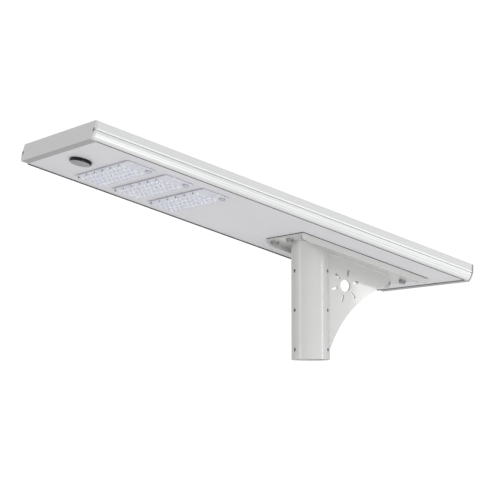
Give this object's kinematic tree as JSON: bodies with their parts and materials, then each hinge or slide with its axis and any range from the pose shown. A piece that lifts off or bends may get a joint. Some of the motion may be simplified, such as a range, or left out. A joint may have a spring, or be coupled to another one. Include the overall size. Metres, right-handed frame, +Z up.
{
  "type": "solar street lamp",
  "caption": "Pole-top solar street lamp: long flat aluminium head with solar panel above, LED modules and motion sensor below, on a clamp sleeve with a gusset.",
  "frame": {"origin": "centre of the pole sleeve's lower rim", "axes": "+Z up along the sleeve, -X towards the end with the LED modules, +Y to the far side (the cable glands are at -Y)"},
  "size_m": [0.9386, 0.331, 0.4385],
  "materials": {
    "rail_aluminium": "satin silver anodised extrusion, fine lines along its length",
    "cap_paint": "satin light grey powder coat",
    "panel_paint": "satin light lavender-grey coat",
    "bracket_paint": "semi-gloss light grey powder coat",
    "bolt_steel": "stainless steel",
    "dark_steel": "dark passivated steel",
    "rubber_black": "matt black rubber",
    "gasket_silicone": "milky white silicone",
    "loom_insulation": "black cable sheath",
    "solar_glass": "low-iron tempered glass, clear",
    "solar_cells": "dark blue cells with silver busbars under film",
    "lens_plastic": "clear moulded polycarbonate",
    "board_white": "white solder mask",
    "sink_aluminium": "mill finish",
    "gland_plastic": "grey moulded plastic",
    "sensor_plastic": "gloss black moulded plastic",
    "battery_wrap": "blue shrink wrap",
    "black_plastic": "matt black moulded plastic"
  },
  "bodies": {
    "lamp": {"side_rail_near": "rail_aluminium", "side_rail_far": "rail_aluminium", "end_cap_front": "cap_paint", "end_cap_rear": "cap_paint", "bottom_panel": "panel_paint", "mounting_plate": "bracket_paint", "pole_sleeve": "bracket_paint", "gusset_plate": "bracket_paint", "backing_plate": "bolt_steel", "battery_strap_front": "bolt_steel", "battery_strap_rear": "bolt_steel", "mounting_bolt_front_near": "bolt_steel", "mounting_bolt_front_middle": "bolt_steel", "mounting_bolt_front_far": "bolt_steel", "mounting_bolt_rear_near": "bolt_steel", "mounting_bolt_rear_middle": "bolt_steel", "mounting_bolt_rear_far": "bolt_steel", "end_cap_screw_front_near": "dark_steel", "end_cap_screw_front_far": "dark_steel", "end_cap_screw_rear_near": "dark_steel", "end_cap_screw_rear_far": "dark_steel", "end_gasket_rear": "rubber_black", "sensor_gasket": "rubber_black", "end_gasket_front": "gasket_silicone", "led_gasket_1": "gasket_silicone", "led_gasket_2": "gasket_silicone", "led_gasket_3": "gasket_silicone", "lighting_loom": "loom_insulation", "battery_loom": "loom_insulation", "solar_loom": "loom_insulation", "solar_glass": "solar_glass", "solar_laminate": "solar_cells", "led_lens_1": "lens_plastic", "led_lens_2": "lens_plastic", "led_lens_3": "lens_plastic", "sensor_board": "board_white", "led_board_1": "board_white", "led_board_2": "board_white", "led_board_3": "board_white", "led_heat_sink_1": "sink_aluminium", "led_heat_sink_2": "sink_aluminium", "led_heat_sink_3": "sink_aluminium", "led_cable_gland_1": "gland_plastic", "led_cable_gland_2": "gland_plastic", "led_cable_gland_3": "gland_plastic", "sensor_cover": "sensor_plastic", "battery_pack_near": "battery_wrap", "battery_pack_far": "battery_wrap", "sensor_nut": "black_plastic", "charge_controller": "black_plastic", "pv_junction_box": "black_plastic"},
    "set_screw_front_1_body": {"set_screw_front_1": "dark_steel"},
    "set_screw_front_2_body": {"set_screw_front_2": "dark_steel"},
    "set_screw_front_3_body": {"set_screw_front_3": "dark_steel"},
    "set_screw_near_1_body": {"set_screw_near_1": "dark_steel"},
    "set_screw_near_2_body": {"set_screw_near_2": "dark_steel"},
    "set_screw_near_3_body": {"set_screw_near_3": "dark_steel"},
    "set_screw_far_1_body": {"set_screw_far_1": "dark_steel"},
    "set_screw_far_2_body": {"set_screw_far_2": "dark_steel"},
    "set_screw_far_3_body": {"set_screw_far_3": "dark_steel"}
  },
  "joints": [
    {"name": "set_screw_front_1_travel", "type": "slide", "parent": "lamp", "child": "set_screw_front_1_body", "axis": [-1, 0, 0], "range_m": [-0.0012, 0.0073]},
    {"name": "set_screw_front_2_travel", "type": "slide", "parent": "lamp", "child": "set_screw_front_2_body", "axis": [-1, 0, 0], "range_m": [-0.0012, 0.0073]},
    {"name": "set_screw_front_3_travel", "type": "slide", "parent": "lamp", "child": "set_screw_front_3_body", "axis": [-1, 0, 0], "range_m": [-0.0012, 0.0073]},
    {"name": "set_screw_near_1_travel", "type": "slide", "parent": "lamp", "child": "set_screw_near_1_body", "axis": [0.5, -0.866, 0], "range_m": [-0.0012, 0.0073]},
    {"name": "set_screw_near_2_travel", "type": "slide", "parent": "lamp", "child": "set_screw_near_2_body", "axis": [0.5, -0.866, 0], "range_m": [-0.0012, 0.0073]},
    {"name": "set_screw_near_3_travel", "type": "slide", "parent": "lamp", "child": "set_screw_near_3_body", "axis": [0.5, -0.866, 0], "range_m": [-0.0012, 0.0073]},
    {"name": "set_screw_far_1_travel", "type": "slide", "parent": "lamp", "child": "set_screw_far_1_body", "axis": [0.5, 0.866, 0], "range_m": [-0.0012, 0.0073]},
    {"name": "set_screw_far_2_travel", "type": "slide", "parent": "lamp", "child": "set_screw_far_2_body", "axis": [0.5, 0.866, 0], "range_m": [-0.0012, 0.0073]},
    {"name": "set_screw_far_3_travel", "type": "slide", "parent": "lamp", "child": "set_screw_far_3_body", "axis": [0.5, 0.866, 0], "range_m": [-0.0012, 0.0073]}
  ]
}
